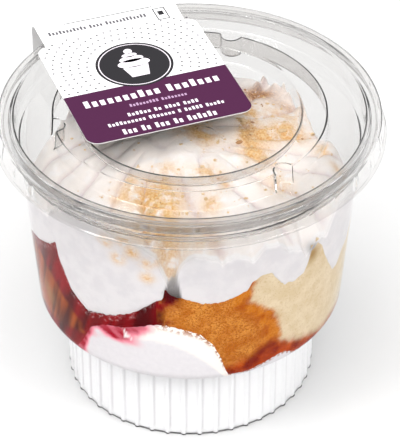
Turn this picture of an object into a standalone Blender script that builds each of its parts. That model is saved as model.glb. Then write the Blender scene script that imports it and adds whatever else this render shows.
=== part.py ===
"""Strawberry cake parfait in a clear lidded cup.

A thermoformed clear cup with a ribbed foot holds four layers: icing in the foot with a
dollop pressed on the wall, sponge cake, strawberry filling and piped icing on top. A clear
push-fit lid closes it, and a card label lies across the lid and folds over its rim.

Frame: origin at the middle of the foot's underside, +Z up, the front of the cup at -Y.
Lengths below are millimetres and angles are degrees about +Z from +X, unless a name says
otherwise.
"""

import math

import bmesh
import bpy

MM = 0.001
SEGMENTS = 48  # facets round every turned piece, one to each rib of the foot
GAP = 0.3  # left between pieces that touch
MERGE = 0.00002  # metres

# cup
CUP_WALL = 0.6
FOOT_RADIUS = 33.5
FOOT_HEIGHT = 25.2
SHOULDER_RADIUS = 40.8  # outside of the tapered wall where the shoulder turns up into it
SHOULDER_TOP = 28.0
WALL_TOP_RADIUS = 44.45
WALL_TOP = 76.2
WALL_SLOPE = (WALL_TOP_RADIUS - SHOULDER_RADIUS) / (WALL_TOP - SHOULDER_TOP)
LID_SEAT_RADIUS = 45.95  # inside of the wider band that takes the lid's plug
RIM_TOP = 83.1
RIM_RADIUS = 48.45
RIM_LIP_BOTTOM = 81.2

# ribs of the foot
RIB_COUNT = 48
FIRST_RIB_ANGLE = -93.0
RIB_WIDTH = 1.2
RIB_HEIGHT = 0.45
RIB_BOTTOM = 0.5
RIB_TOP = 24.2

# lid
LID_SHEET = 0.45
LID_TOP = 84.0
RECESS_FLOOR = 80.0
RECESS_RADIUS = 28.1
RING_INNER_RADIUS = 28.8
RING_OUTER_RADIUS = 35.4
PANEL_TOP = 78.4
PANEL_INNER_RADIUS = 36.0
PLUG_RADIUS = 45.25
LID_RADIUS = 49.3
SKIRT_RADIUS = 50.25
SKIRT_BOTTOM = 78.0
SKIRT_EDGE_RADIUS = 50.7
NOTCH_ANGLES = (-168.0, -48.0, 72.0)
NOTCH_RADIUS = 2.6
NOTCH_SIDES = 20

# label, in its own axes: U across it and V towards its tail
LABEL_TURN = 20.3
LABEL_SHEET = 0.25
LABEL_BOTTOM = LID_TOP + GAP
LABEL_U = (-29.5, 15.1)
LABEL_V = (-7.4, 38.1)
LABEL_CORNER = 3.2
TAIL_U = (-26.7, 12.7)
TAIL_FOLD_V = 48.0
TAIL_FOLD_RADIUS = 3.2
TAIL_DROP = 9.0
CORNER_STEPS = 4

# food
FOOD_FLOOR = CUP_WALL + GAP
FOOD_SHOULDER = FOOT_HEIGHT + CUP_WALL + GAP
LEAST_LAYER = 0.6  # the thinnest that a layer gets where it isn't seen
LAYER_SHARES = (1.0, 0.93, 0.8, 0.45)  # rings of each layer's faces, 1 on the wall and 0 on the axis
MOUND_SHARES = (1.0, 0.93, 0.82, 0.7, 0.57, 0.42, 0.25)
BASE_LEVEL = 29.0  # top of the foot's icing away from its dollops
DOLLOPS = (  # azimuth of the peak, rise above the level, (spread, power) before and after the peak
    (-97.0, 17.5, (56.0, 0.9), (21.0, 0.55)),
    (82.0, 11.0, (40.0, 0.7), (34.0, 0.6)),
)
SYRUP_SECTOR = (-195.0, -107.0)  # where filling runs down between the cake and the wall
SECTOR_BLEND = 7.0
FILLING_DEPTH = 3.4
ICING_SEAM = 60.0  # height on the wall where two piped lobes meet
ICING_INNER_SEAM = 57.0
LOBES = (  # azimuth, half width, lowest point of each piped lobe on the wall
    (-122.0, 21.0, 43.2),
    (-82.0, 16.0, 53.0),
    (-53.0, 8.5, 54.5),
    (-24.0, 20.0, 44.0),
    (16.0, 20.0, 51.0),
    (53.0, 17.0, 46.5),
    (91.0, 21.0, 51.5),
    (130.0, 18.0, 47.0),
    (170.0, 20.0, 43.0),
)
MOUND_CROWN = 78.3
MOUND_SHOULDER_RADIUS = 17.0
MOUND_FRONT_DROP = 9.5
MOUND_BACK_DROP = 9.0  # further drop towards the back
RUFFLES = 14
RUFFLE_HEIGHT = 0.8


def clear_scene():
    for old in list(bpy.data.objects):
        bpy.data.objects.remove(old, do_unlink=True)


def collection(name):
    made = bpy.data.collections.new(name)
    bpy.context.scene.collection.children.link(made)
    return made


def principled(name, colour, roughness, transmission=0.0, ior=1.5):
    material = bpy.data.materials.new(name)
    material.use_nodes = True
    shader = material.node_tree.nodes["Principled BSDF"]
    shader.inputs["Base Color"].default_value = (*colour, 1.0)
    shader.inputs["Roughness"].default_value = roughness
    shader.inputs["Metallic"].default_value = 0.0
    shader.inputs["Transmission Weight"].default_value = transmission
    shader.inputs["IOR"].default_value = ior
    return material


def object_from(bm, name, home, material=None):
    """Turn a bmesh in millimetres into a smooth-shaded object in metres."""
    bmesh.ops.scale(bm, vec=(MM, MM, MM), verts=bm.verts)
    mesh = bpy.data.meshes.new(name)
    bm.to_mesh(mesh)
    bm.free()
    mesh.shade_smooth()
    mesh.set_sharp_from_angle(angle=math.radians(35))
    if material:
        mesh.materials.append(material)
    made = bpy.data.objects.new(name, mesh)
    home.objects.link(made)
    return made


def hide_tool(tool):
    tool.hide_render = True
    tool.display_type = "WIRE"
    return tool


def turned(name, profile, home, material):
    """Turn an (r, z) profile, which runs down its outer side, about +Z."""
    bm = bmesh.new()
    points = [bm.verts.new((r, 0.0, z)) for r, z in profile]
    for start, end in zip(points, points[1:]):
        bm.edges.new((start, end))
    made = object_from(bm, name, home, material)
    screw = made.modifiers.new("turn", "SCREW")
    screw.axis = "Z"
    screw.steps = SEGMENTS
    screw.render_steps = SEGMENTS
    screw.use_merge_vertices = True
    screw.merge_threshold = MERGE
    screw.use_smooth_shade = True
    return made


def boolean(target, tool, operation):
    cut = target.modifiers.new(tool.name, "BOOLEAN")
    cut.operation = operation
    cut.solver = "EXACT"
    cut.object = tool
    return cut


def wall_radius(z):
    """Outside radius of the cup's tapered wall."""
    return SHOULDER_RADIUS + WALL_SLOPE * (z - SHOULDER_TOP)


def food_radius(z):
    """Radius that food can fill at height z above the shoulder."""
    return wall_radius(z) - CUP_WALL - GAP


def cup_profile():
    seat_outer = LID_SEAT_RADIUS + CUP_WALL
    inside = [
        (0.0, CUP_WALL),
        (FOOT_RADIUS - CUP_WALL - 0.9, CUP_WALL),
        (FOOT_RADIUS - CUP_WALL, CUP_WALL + 0.9),
        (FOOT_RADIUS - CUP_WALL, FOOT_HEIGHT + 0.1),
        (FOOT_RADIUS - 0.1, FOOT_HEIGHT + CUP_WALL),
        (SHOULDER_RADIUS - 3.0, FOOT_HEIGHT + CUP_WALL + 0.1),
        (SHOULDER_RADIUS - 1.4, FOOT_HEIGHT + CUP_WALL + 0.9),
        (SHOULDER_RADIUS - CUP_WALL, SHOULDER_TOP + 0.2),
        (WALL_TOP_RADIUS - CUP_WALL, WALL_TOP + 0.6),
        (WALL_TOP_RADIUS - 0.2, WALL_TOP + 1.2),
        (LID_SEAT_RADIUS, WALL_TOP + 1.4),
        (LID_SEAT_RADIUS + 0.1, RIM_TOP - 0.4),
    ]
    rim = [
        (seat_outer, RIM_TOP),
        (RIM_RADIUS - 0.5, RIM_TOP),
        (RIM_RADIUS, RIM_TOP - 0.5),
        (RIM_RADIUS, RIM_LIP_BOTTOM),
        (RIM_RADIUS - CUP_WALL, RIM_LIP_BOTTOM),
        (RIM_RADIUS - CUP_WALL, RIM_TOP - CUP_WALL),
        (seat_outer + 0.2, RIM_TOP - CUP_WALL),
    ]
    outside = [
        (seat_outer, WALL_TOP + 0.9),
        (seat_outer - 0.4, WALL_TOP + 0.5),
        (WALL_TOP_RADIUS + 0.4, WALL_TOP + 0.5),
        (WALL_TOP_RADIUS, WALL_TOP),
        (SHOULDER_RADIUS, SHOULDER_TOP),
        (SHOULDER_RADIUS - 0.8, FOOT_HEIGHT + 0.9),
        (SHOULDER_RADIUS - 2.6, FOOT_HEIGHT + 0.1),
        (FOOT_RADIUS + 0.5, FOOT_HEIGHT),
        (FOOT_RADIUS, FOOT_HEIGHT - 0.5),
        (FOOT_RADIUS, 1.0),
        (FOOT_RADIUS - 1.0, 0.0),
        (0.0, 0.0),
    ]
    return inside + rim + outside


def make_ribs(home):
    """Three-sided ribs that stand out of the foot's wall, all in one tool."""
    bm = bmesh.new()
    root = FOOT_RADIUS - 0.35
    crest = FOOT_RADIUS + RIB_HEIGHT
    half = RIB_WIDTH / 2
    for index in range(RIB_COUNT):
        angle = math.radians(FIRST_RIB_ANGLE + index * 360.0 / RIB_COUNT)
        along, across = (math.cos(angle), math.sin(angle)), (-math.sin(angle), math.cos(angle))
        corners = []
        for z in (RIB_BOTTOM, RIB_TOP):
            for radius, side in ((root, -half), (crest, 0.0), (root, half)):
                x = radius * along[0] + side * across[0]
                y = radius * along[1] + side * across[1]
                corners.append(bm.verts.new((x, y, z)))
        lower, upper = corners[:3], corners[3:]
        bm.faces.new(reversed(lower))
        bm.faces.new(upper)
        for step in range(3):
            after = (step + 1) % 3
            bm.faces.new((lower[step], lower[after], upper[after], upper[step]))
    bmesh.ops.recalc_face_normals(bm, faces=bm.faces)
    return hide_tool(object_from(bm, "foot_ribs_tool", home))


def make_cup(parts, tools):
    clear = principled("clear_cup_pet", (0.93, 0.95, 0.95), 0.05, transmission=1.0, ior=1.57)
    cup = turned("cup", cup_profile(), parts, clear)
    boolean(cup, make_ribs(tools), "UNION")
    return cup


def lid_profile():
    """Upper face of the lid's sheet, from its middle out to the skirt's edge."""
    return [
        (0.0, RECESS_FLOOR),
        (RECESS_RADIUS, RECESS_FLOOR),
        (RING_INNER_RADIUS, LID_TOP),
        (RING_OUTER_RADIUS, LID_TOP),
        (PANEL_INNER_RADIUS, PANEL_TOP),
        (PLUG_RADIUS - 0.4, PANEL_TOP),
        (PLUG_RADIUS, LID_TOP - 0.6),
        (PLUG_RADIUS + 0.8, LID_TOP),
        (LID_RADIUS - 0.6, LID_TOP),
        (LID_RADIUS, LID_TOP - 0.7),
        (SKIRT_RADIUS, SKIRT_BOTTOM + 0.3),
        (SKIRT_EDGE_RADIUS, SKIRT_BOTTOM),
    ]


def upright_rod(name, radius, low, high, home):
    """A straight rod at each notch, all in one tool."""
    bm = bmesh.new()
    for angle in NOTCH_ANGLES:
        turn = math.radians(angle)
        rod = bmesh.ops.create_cone(
            bm, cap_ends=True, segments=NOTCH_SIDES, radius1=radius, radius2=radius, depth=high - low
        )
        middle = (PANEL_INNER_RADIUS * math.cos(turn), PANEL_INNER_RADIUS * math.sin(turn), (low + high) / 2)
        bmesh.ops.translate(bm, vec=middle, verts=rod["verts"])
    return hide_tool(object_from(bm, name, home))


def make_lid(parts, tools):
    """Thin turned sheet, with half-round stacking notches let into the raised ring."""
    clear = principled("clear_lid_pet", (0.95, 0.96, 0.96), 0.05, transmission=1.0, ior=1.57)
    lid = turned("lid", lid_profile(), parts, clear)
    sheet = lid.modifiers.new("sheet", "SOLIDIFY")
    sheet.thickness = LID_SHEET * MM
    sheet.offset = -1.0
    sheet.use_even_offset = True
    posts = upright_rod("notch_wall_tool", NOTCH_RADIUS + LID_SHEET, PANEL_TOP - LID_SHEET, LID_TOP, tools)
    bound = bmesh.new()
    bmesh.ops.create_cone(
        bound,
        cap_ends=True,
        segments=SEGMENTS,
        radius1=PANEL_INNER_RADIUS - LID_SHEET,
        radius2=RING_OUTER_RADIUS - LID_SHEET / 2,
        depth=LID_TOP - PANEL_TOP + 2 * LID_SHEET,
    )
    bmesh.ops.translate(bound, vec=(0, 0, (LID_TOP + PANEL_TOP) / 2), verts=bound.verts)
    boolean(posts, hide_tool(object_from(bound, "ring_bound_tool", tools)), "INTERSECT")
    boolean(lid, posts, "UNION")
    cores = upright_rod("notch_core_tool", NOTCH_RADIUS, PANEL_TOP, LID_TOP + 1.0, tools)
    boolean(lid, cores, "DIFFERENCE")
    return lid


def label_rows():
    """Rows across the label as (left U, right U, V, Z), from its front edge to the tail's end."""
    z = LABEL_BOTTOM + LABEL_SHEET / 2
    rows = []
    for step in range(CORNER_STEPS + 1):
        turn = math.radians(90.0 * step / CORNER_STEPS)
        inset = LABEL_CORNER * (1.0 - math.sin(turn))
        v = LABEL_V[0] + LABEL_CORNER * (1.0 - math.cos(turn))
        rows.append((LABEL_U[0] + inset, LABEL_U[1] - inset, v, z))
    shoulder = TAIL_U[0] - LABEL_U[0]
    for step in range(CORNER_STEPS + 1):
        turn = math.radians(90.0 * step / CORNER_STEPS)
        inset = shoulder * (1.0 - math.cos(turn))
        v = LABEL_V[1] - shoulder * (1.0 - math.sin(turn))
        rows.append((LABEL_U[0] + inset, LABEL_U[1] - inset, v, z))
    for step in range(CORNER_STEPS + 1):
        turn = math.radians(90.0 * step / CORNER_STEPS)
        v = TAIL_FOLD_V + TAIL_FOLD_RADIUS * math.sin(turn)
        rows.append((*TAIL_U, v, z - TAIL_FOLD_RADIUS * (1.0 - math.cos(turn))))
    rows.append((*TAIL_U, TAIL_FOLD_V + TAIL_FOLD_RADIUS, z - TAIL_FOLD_RADIUS - TAIL_DROP))
    return rows


def make_label(parts):
    card = principled("printed_card", (0.55, 0.42, 0.55), 0.5)
    turn = math.radians(LABEL_TURN)
    bm = bmesh.new()
    rows = []
    for left, right, v, z in label_rows():
        row = []
        for u in (left, right):
            x = u * math.cos(turn) - v * math.sin(turn)
            y = u * math.sin(turn) + v * math.cos(turn)
            row.append(bm.verts.new((x, y, z)))
        rows.append(row)
    for near, far in zip(rows, rows[1:]):
        bm.faces.new((near[0], near[1], far[1], far[0]))
    label = object_from(bm, "label", parts, card)
    sheet = label.modifiers.new("sheet", "SOLIDIFY")
    sheet.thickness = LABEL_SHEET * MM
    sheet.offset = 0.0
    sheet.use_even_offset = True
    return label


def ramp(value, low, high):
    """0 below low, 1 above high and an eased slope between."""
    share = min(1.0, max(0.0, (value - low) / (high - low)))
    return share * share * (3.0 - 2.0 * share)


def angle_between(angle, middle):
    """Signed turn from middle to angle, between -180 and 180."""
    return (angle - middle + 180.0) % 360.0 - 180.0


def base_top(angle, share):
    """Top of the foot's icing. share runs from 0 on the axis to 1 on the wall."""
    rise = 0.0
    for peak, height, before, after in DOLLOPS:
        turn = angle_between(angle, peak)
        spread, power = before if turn < 0 else after
        if abs(turn) < spread:
            rise += height * (1.0 - abs(turn) / spread) ** power
    return BASE_LEVEL + rise * ramp(share, 0.3, 0.95)


def icing_seam(angle, share):
    """Underside of the piped icing, with a lobe hanging on the wall at each ribbon's end."""
    edge = ICING_SEAM
    for middle, half, low in LOBES:
        turn = angle_between(angle, middle) / half
        if abs(turn) < 1.0:
            edge = min(edge, ICING_SEAM - (ICING_SEAM - low) * math.sqrt(1.0 - turn * turn))
    seam = ICING_INNER_SEAM + (edge - ICING_INNER_SEAM) * ramp(share, 0.55, 1.0)
    return max(seam, base_top(angle, share) + 3 * GAP + 2 * LEAST_LAYER)


def syrup_share(angle):
    """1 where filling lies between the cake and the wall, 0 where the cake touches the wall."""
    middle = sum(SYRUP_SECTOR) / 2
    half = (SYRUP_SECTOR[1] - SYRUP_SECTOR[0]) / 2
    return 1.0 - ramp(abs(angle_between(angle, middle)), half - SECTOR_BLEND, half)


def cake_top(angle, share):
    under_icing = icing_seam(angle, share) - 2 * GAP
    depth = FILLING_DEPTH + (LEAST_LAYER - FILLING_DEPTH) * ramp(share, 0.75, 1.0)
    full = under_icing - depth
    low = base_top(angle, share) + GAP + LEAST_LAYER
    tuck = syrup_share(angle) * ramp(share, 0.8, 0.93)
    return max(low, full + (low - full) * tuck)


def mound_top(angle, share):
    """Piped icing: a broad heap that falls away further at the back, with radial ruffles."""
    radius = share * food_radius(MOUND_CROWN - MOUND_FRONT_DROP)
    outer = food_radius(MOUND_CROWN)
    fall = max(0.0, radius - MOUND_SHOULDER_RADIUS) / (outer - MOUND_SHOULDER_RADIUS)
    back = max(0.0, math.sin(math.radians(angle))) ** 2
    drop = (MOUND_FRONT_DROP + MOUND_BACK_DROP * back) * fall**1.3
    ruffle = RUFFLE_HEIGHT * math.sin(math.radians(RUFFLES * angle + 60.0 * share))
    return MOUND_CROWN - drop + ruffle * ramp(share, 0.15, 0.5) * (1.0 - ramp(share, 0.9, 1.0))


def ring_of(bm, radius_at, height_at):
    ring = []
    for step in range(SEGMENTS):
        angle = step * 360.0 / SEGMENTS
        turn = math.radians(angle)
        z = height_at(angle)
        radius = radius_at(z)
        ring.append(bm.verts.new((radius * math.cos(turn), radius * math.sin(turn), z)))
    return ring


def join_rings(bm, lower, upper, lean_back=False):
    """Triangles between two rings. lean_back turns the diagonals, to match a face from above."""
    for step in range(SEGMENTS):
        after = (step + 1) % SEGMENTS
        near, far = lower[step], upper[after]
        if lean_back:
            bm.faces.new((near, lower[after], upper[step]))
            bm.faces.new((lower[after], far, upper[step]))
        else:
            bm.faces.new((near, lower[after], far))
            bm.faces.new((near, far, upper[step]))


def close_ring(bm, ring, height, upward):
    middle = bm.verts.new((0.0, 0.0, height))
    for step in range(SEGMENTS):
        after = (step + 1) % SEGMENTS
        pair = (ring[step], ring[after]) if upward else (ring[after], ring[step])
        bm.faces.new((*pair, middle))


def surface_rings(bm, height, shares):
    """Rings of one face of a layer, from the wall inwards."""
    rings = []
    for share in shares:
        ring = []
        for step in range(SEGMENTS):
            angle = step * 360.0 / SEGMENTS
            z = height(angle, share)
            radius = food_radius(z) if share == 1.0 else share * food_radius(BASE_LEVEL)
            turn = math.radians(angle)
            ring.append(bm.verts.new((radius * math.cos(turn), radius * math.sin(turn), z)))
        rings.append(ring)
    return rings


def make_layer(name, low, high, low_shares, high_shares, home, material):
    """One layer that runs from wall to wall between two height functions."""
    bm = bmesh.new()
    floor = surface_rings(bm, low, low_shares)
    roof = surface_rings(bm, high, high_shares)
    for outer, inner in zip(floor, floor[1:]):
        join_rings(bm, inner, outer, lean_back=True)
    for outer, inner in zip(roof, roof[1:]):
        join_rings(bm, outer, inner)
    join_rings(bm, floor[0], roof[0])
    close_ring(bm, floor[-1], low(0.0, 0.0), upward=False)
    close_ring(bm, roof[-1], high(0.0, 0.0), upward=True)
    return object_from(bm, name, home, material)


def make_foot_icing(home):
    """Icing that fills the foot and swells up the wall in dollops."""
    icing = principled("foot_icing", (0.83, 0.81, 0.82), 0.45)
    bm = bmesh.new()
    inner = FOOT_RADIUS - CUP_WALL - GAP
    sides = (
        (inner - 0.8, FOOD_FLOOR),
        (inner, FOOD_FLOOR + 0.8),
        (inner, FOOD_SHOULDER - 0.5),
        (inner + 0.6, FOOD_SHOULDER),
        (SHOULDER_RADIUS - 3.2, FOOD_SHOULDER + 0.15),
        (SHOULDER_RADIUS - 1.8, FOOD_SHOULDER + 1.0),
    )
    rings = [ring_of(bm, lambda z, r=r: r, lambda angle, z=z: z) for r, z in sides]
    roof = surface_rings(bm, base_top, LAYER_SHARES)
    for lower, upper in zip(rings, rings[1:]):
        join_rings(bm, lower, upper)
    join_rings(bm, rings[-1], roof[0])
    for outer, within in zip(roof, roof[1:]):
        join_rings(bm, outer, within)
    close_ring(bm, rings[0], FOOD_FLOOR, upward=False)
    close_ring(bm, roof[-1], base_top(0.0, 0.0), upward=True)
    return object_from(bm, "foot_icing", home, icing)


def make_food(home):
    make_foot_icing(home)
    sponge = principled("sponge_cake", (0.66, 0.33, 0.09), 0.7)
    gel = principled("strawberry_filling", (0.25, 0.01, 0.02), 0.15)
    cream = principled("piped_icing", (0.86, 0.83, 0.85), 0.45)
    make_layer("cake", lambda a, s: base_top(a, s) + GAP, cake_top, LAYER_SHARES, LAYER_SHARES, home, sponge)
    make_layer(
        "strawberry_filling",
        lambda a, s: cake_top(a, s) + GAP,
        lambda a, s: icing_seam(a, s) - GAP,
        LAYER_SHARES,
        LAYER_SHARES,
        home,
        gel,
    )
    make_layer("piped_icing", icing_seam, mound_top, LAYER_SHARES, MOUND_SHARES, home, cream)


def main():
    clear_scene()
    parts = collection("strawberry_parfait")
    tools = collection("tools")
    make_cup(parts, tools)
    make_lid(parts, tools)
    make_label(parts)
    make_food(parts)


main()
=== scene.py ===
"""Strawberry cake parfait in a clear lidded cup: the looks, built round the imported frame.

Lengths are millimetres of the real cup unless a name says otherwise, and UNIT turns them into
scene metres. Angles are degrees about +Z from +X, so the front of the cup is at -90.
"""

import math
import random

import bpy
from mathutils import Matrix, Vector, noise


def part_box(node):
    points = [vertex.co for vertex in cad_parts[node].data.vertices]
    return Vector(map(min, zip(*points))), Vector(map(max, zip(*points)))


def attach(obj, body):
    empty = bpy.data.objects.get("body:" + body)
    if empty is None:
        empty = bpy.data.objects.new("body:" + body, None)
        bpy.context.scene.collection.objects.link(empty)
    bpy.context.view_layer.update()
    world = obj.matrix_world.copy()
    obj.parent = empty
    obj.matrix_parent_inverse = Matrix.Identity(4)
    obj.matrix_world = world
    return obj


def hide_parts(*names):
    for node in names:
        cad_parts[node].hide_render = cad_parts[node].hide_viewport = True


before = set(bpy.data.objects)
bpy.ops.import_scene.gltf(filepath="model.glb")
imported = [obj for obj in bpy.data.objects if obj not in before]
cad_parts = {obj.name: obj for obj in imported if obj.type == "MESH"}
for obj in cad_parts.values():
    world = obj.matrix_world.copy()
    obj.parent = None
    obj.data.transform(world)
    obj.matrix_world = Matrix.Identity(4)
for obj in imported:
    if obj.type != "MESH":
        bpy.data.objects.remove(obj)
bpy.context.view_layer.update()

CUP_HEIGHT = 83.1
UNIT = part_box("cup")[1][2] / CUP_HEIGHT
BODY = "root"

# ---------------------------------------------------------------- the cup's own sizes
SHEET = 0.6
FOOT_RADIUS = 33.1
FOOT_HEIGHT = 25.2
WALL_FOOT_RADIUS = 40.8
WALL_FOOT = 28.0
WALL_TOP_RADIUS = 44.45
WALL_TOP = 76.2
WALL_SLOPE = (WALL_TOP_RADIUS - WALL_FOOT_RADIUS) / (WALL_TOP - WALL_FOOT)
SHOULDER_FILLET = 3.6
RIBS = 48
FIRST_RIB = -93.0
RIB_WIDTH = 1.3
RIB_HEIGHT = 0.42
RIB_TOP = 24.4
LID_SHEET = 0.45
LID_TOP = 84.0
RING_WALL_RADIUS = 35.9
PANEL_TOP = 78.4
RECESS_FLOOR = 80.0
NOTCHES = (-168.0, -48.0, 72.0)
NOTCH_RADIUS = 2.7
DARTS = 36
FIRST_DART = -93.0

# How deep in the cup's sheet each layer's face lies. Food that is nearer the eye lies less deep.
DEPTH = {"piped": 0.26, "foot": 0.34, "cake": 0.42, "gel": 0.5}

# ---------------------------------------------------------------- outlines on the wall
# Each outline is a list of (angle, height), read by between().
ICING_EDGE = (
    (-200.0, 46.0), (-192.0, 41.0), (-184.0, 41.0), (-175.0, 46.5), (-165.0, 51.5), (-156.0, 54.0),
    (-147.0, 57.2), (-142.3, 60.2), (-141.5, 55.0), (-139.0, 50.4), (-136.5, 45.6), (-132.6, 43.4),
    (-129.0, 41.6), (-125.5, 42.4), (-119.3, 43.6), (-111.2, 46.4), (-105.5, 49.9), (-101.5, 53.0),
    (-99.2, 53.9), (-98.3, 58.6), (-96.6, 56.6), (-93.2, 55.0), (-89.8, 53.9), (-85.4, 52.4),
    (-79.6, 52.6), (-74.4, 53.8), (-70.2, 55.3), (-68.6, 58.2), (-65.0, 59.5), (-61.2, 59.4),
    (-58.9, 56.1), (-55.8, 53.4), (-50.9, 52.9), (-47.4, 54.3), (-45.6, 57.4), (-44.4, 61.0),
    (-41.5, 62.4), (-38.4, 60.0), (-36.2, 55.6), (-32.1, 49.2), (-28.5, 45.2), (-25.0, 44.8),
    (-21.0, 48.2), (-16.0, 49.0), (-10.0, 54.0), (-4.0, 57.5), (2.0, 52.0), (12.0, 46.0),
    (24.0, 45.5), (33.0, 43.5), (38.0, 41.0), (50.0, 44.5), (62.0, 50.0), (68.0, 54.5),
    (74.0, 51.0), (88.0, 47.5), (104.0, 50.0), (111.0, 53.0), (117.0, 47.0), (128.0, 44.0),
    (142.0, 45.0), (150.0, 48.0), (160.0, 45.0),
)
PRESS_EDGE = (  # above this the piped icing leaves the wall
    (-200.0, 56.0), (-190.0, 60.5), (-180.0, 64.0), (-170.0, 65.5), (-156.0, 67.0), (-146.0, 68.0),
    (-141.5, 72.0), (-133.9, 76.0), (-124.0, 75.5), (-116.0, 73.5), (-106.0, 71.5), (-101.0, 68.5),
    (-98.4, 62.0), (-97.2, 59.0), (-95.2, 60.0), (-94.0, 64.0), (-91.5, 68.0), (-88.2, 69.6),
    (-83.3, 68.8), (-79.0, 67.0), (-73.3, 68.2), (-68.0, 65.6), (-64.3, 69.4), (-59.0, 68.6),
    (-54.0, 65.0), (-50.1, 63.8), (-46.5, 60.4), (-44.0, 62.6), (-40.0, 64.0), (-36.5, 62.0),
    (-31.0, 70.0), (-22.0, 69.0), (-12.0, 66.0), (-4.0, 63.5), (3.0, 62.0), (10.0, 59.0),
    (20.0, 54.0), (30.0, 51.0), (38.0, 49.0), (46.0, 53.0), (56.0, 57.5), (72.0, 57.0),
    (90.0, 55.5), (120.0, 54.0), (140.0, 53.0), (152.0, 53.5), (158.0, 55.0),
)
CREST = (  # (x, y) along the heap's top, behind which it falls away
    (-45.0, -9.0), (-41.0, -4.0), (-36.0, 1.5), (-34.0, 6.0), (-31.0, 15.0), (-24.0, 25.0), (0.0, 29.0),
    (15.0, 25.5), (20.0, 24.0), (25.0, 20.5), (29.5, 13.0), (33.0, 1.0), (38.0, -2.5), (41.5, -6.0),
    (45.0, -9.0),
)
DOLLOP_EDGE = (  # top of the foot's icing on the wall
    (-200.0, 26.4), (-150.0, 26.2), (-140.0, 26.4), (-136.6, 27.4), (-132.7, 31.5), (-130.0, 35.4),
    (-127.7, 38.2), (-121.6, 41.0), (-113.0, 42.4), (-108.0, 43.9), (-103.9, 45.2), (-98.6, 45.9),
    (-93.3, 44.9), (-89.0, 43.8), (-86.0, 42.6), (-81.7, 38.9), (-79.1, 34.6), (-77.1, 29.4),
    (-75.6, 27.0), (-68.0, 26.8), (-64.0, 28.0), (-58.0, 29.1), (-53.0, 29.5),
    (-50.0, 28.2), (-47.0, 26.8), (-20.0, 26.4), (20.0, 26.6), (48.0, 27.0),
    (58.0, 31.0), (68.0, 37.5), (82.0, 39.5), (96.0, 37.0), (106.0, 31.0), (114.0, 27.2),
    (150.0, 26.4),
)
PALE_EDGE = (  # (height, angle) where the browned cake turns to pale crumb
    (24.0, -24.0), (28.0, -34.0), (30.0, -45.0), (32.5, -54.0), (35.1, -56.0), (40.0, -56.4),
    (45.6, -59.0), (48.7, -64.4), (52.8, -69.2), (57.2, -68.6), (64.0, -66.0),
)
SOAK_EDGE = (  # top of the syrup that has soaked into the cake's foot
    (-200.0, 30.0), (-112.0, 30.0), (-77.1, 30.0), (-71.5, 31.1), (-66.9, 32.3), (-63.0, 35.0),
    (-57.5, 34.8), (-52.9, 33.0), (-45.1, 30.3), (-33.5, 28.0), (-20.0, 28.4), (20.0, 29.4),
    (60.0, 31.5), (120.0, 33.0), (150.0, 30.5),
)


# ---------------------------------------------------------------- small tools
def hex_colour(code):
    """sRGB hex to the linear colour that a socket takes."""
    shares = [int(code[i : i + 2], 16) / 255 for i in (1, 3, 5)]
    linear = [s / 12.92 if s <= 0.04045 else ((s + 0.055) / 1.055) ** 2.4 for s in shares]
    return (*linear, 1.0)


def ease(value, low, high):
    """0 at low, 1 at high and an S between them."""
    share = min(1.0, max(0.0, (value - low) / (high - low)))
    return share * share * (3.0 - 2.0 * share)


def apart(angle, middle):
    """Signed turn from middle to angle, between -180 and 180."""
    return (angle - middle + 180.0) % 360.0 - 180.0


def between(outline, angle, turns=True):
    """Height of an outline at an angle. Straight lines join its points, right round if it turns."""
    if turns:
        angle = (angle - outline[0][0]) % 360.0 + outline[0][0]
        outline = outline + ((outline[0][0] + 360.0, outline[0][1]),)
    before = outline[0]
    for after in outline[1:]:
        if angle <= after[0]:
            share = max(0.0, (angle - before[0]) / (after[0] - before[0]))
            return before[1] + (after[1] - before[1]) * share
        before = after
    return before[1]


def grain(x, y, z, size, seed=0.0):
    """Smooth noise from -1 to 1 with bumps about size mm across."""
    return noise.noise(Vector((x / size + seed, y / size, z / size)))


def angle_at(x, y):
    """Angle about the cup's axis, in degrees."""
    return math.degrees(math.atan2(y, x))


def waver(angle, pace, seed):
    """Smooth noise from -1 to 1 that goes round the cup with the angle."""
    return noise.noise(Vector((angle * pace, *seed)))


def spot(x, y, middle_x, middle_y, reach_x, reach_y):
    """1 at the middle of a soft oval spot, fading out over its reach."""
    return math.exp(-(((x - middle_x) / reach_x) ** 2) - ((y - middle_y) / reach_y) ** 2)


def wall_radius(z):
    return WALL_FOOT_RADIUS + WALL_SLOPE * (z - WALL_FOOT)


def skin_radius(z, depth):
    """Radius at height z of a face that lies depth inside the cup's outer face, above its shoulder."""
    middle = FOOT_HEIGHT + SHOULDER_FILLET
    if z >= middle:
        return wall_radius(z) - depth
    reach = SHOULDER_FILLET - depth
    drop = min(reach, middle - z)
    return wall_radius(middle) - SHOULDER_FILLET + math.sqrt(max(0.0, reach * reach - drop * drop))


def below_skin(x, y, z):
    """How far a point lies inside the cup's outer face."""
    return skin_radius(z, 0.0) - math.hypot(x, y)


def off_nearest(angle, count, first):
    """Signed turn to the nearest of count marks set evenly round the cup from the first one."""
    pitch = 360.0 / count
    return (angle - first + pitch / 2) % pitch - pitch / 2


def rib_rise(angle, z):
    """How far the foot's sheet stands out at a rib."""
    off = abs(off_nearest(angle, RIBS, FIRST_RIB))
    across = math.radians(off) * FOOT_RADIUS / (RIB_WIDTH / 2)
    if across >= 1.0:
        return 0.0
    along = ease(z, 0.0, 0.4) * (1.0 - ease(z, RIB_TOP - 1.5, RIB_TOP))
    foot = 1.0 + 0.35 * (1.0 - ease(z, 0.9, 2.0))
    return RIB_HEIGHT * foot * along * math.sqrt(1.0 - across * across)


def deselect_all():
    if bpy.context.object and bpy.context.object.mode != "OBJECT":
        bpy.ops.object.mode_set(mode="OBJECT")
    bpy.ops.object.select_all(action="DESELECT")


def activate(piece):
    deselect_all()
    piece.select_set(True)
    bpy.context.view_layer.objects.active = piece


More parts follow.
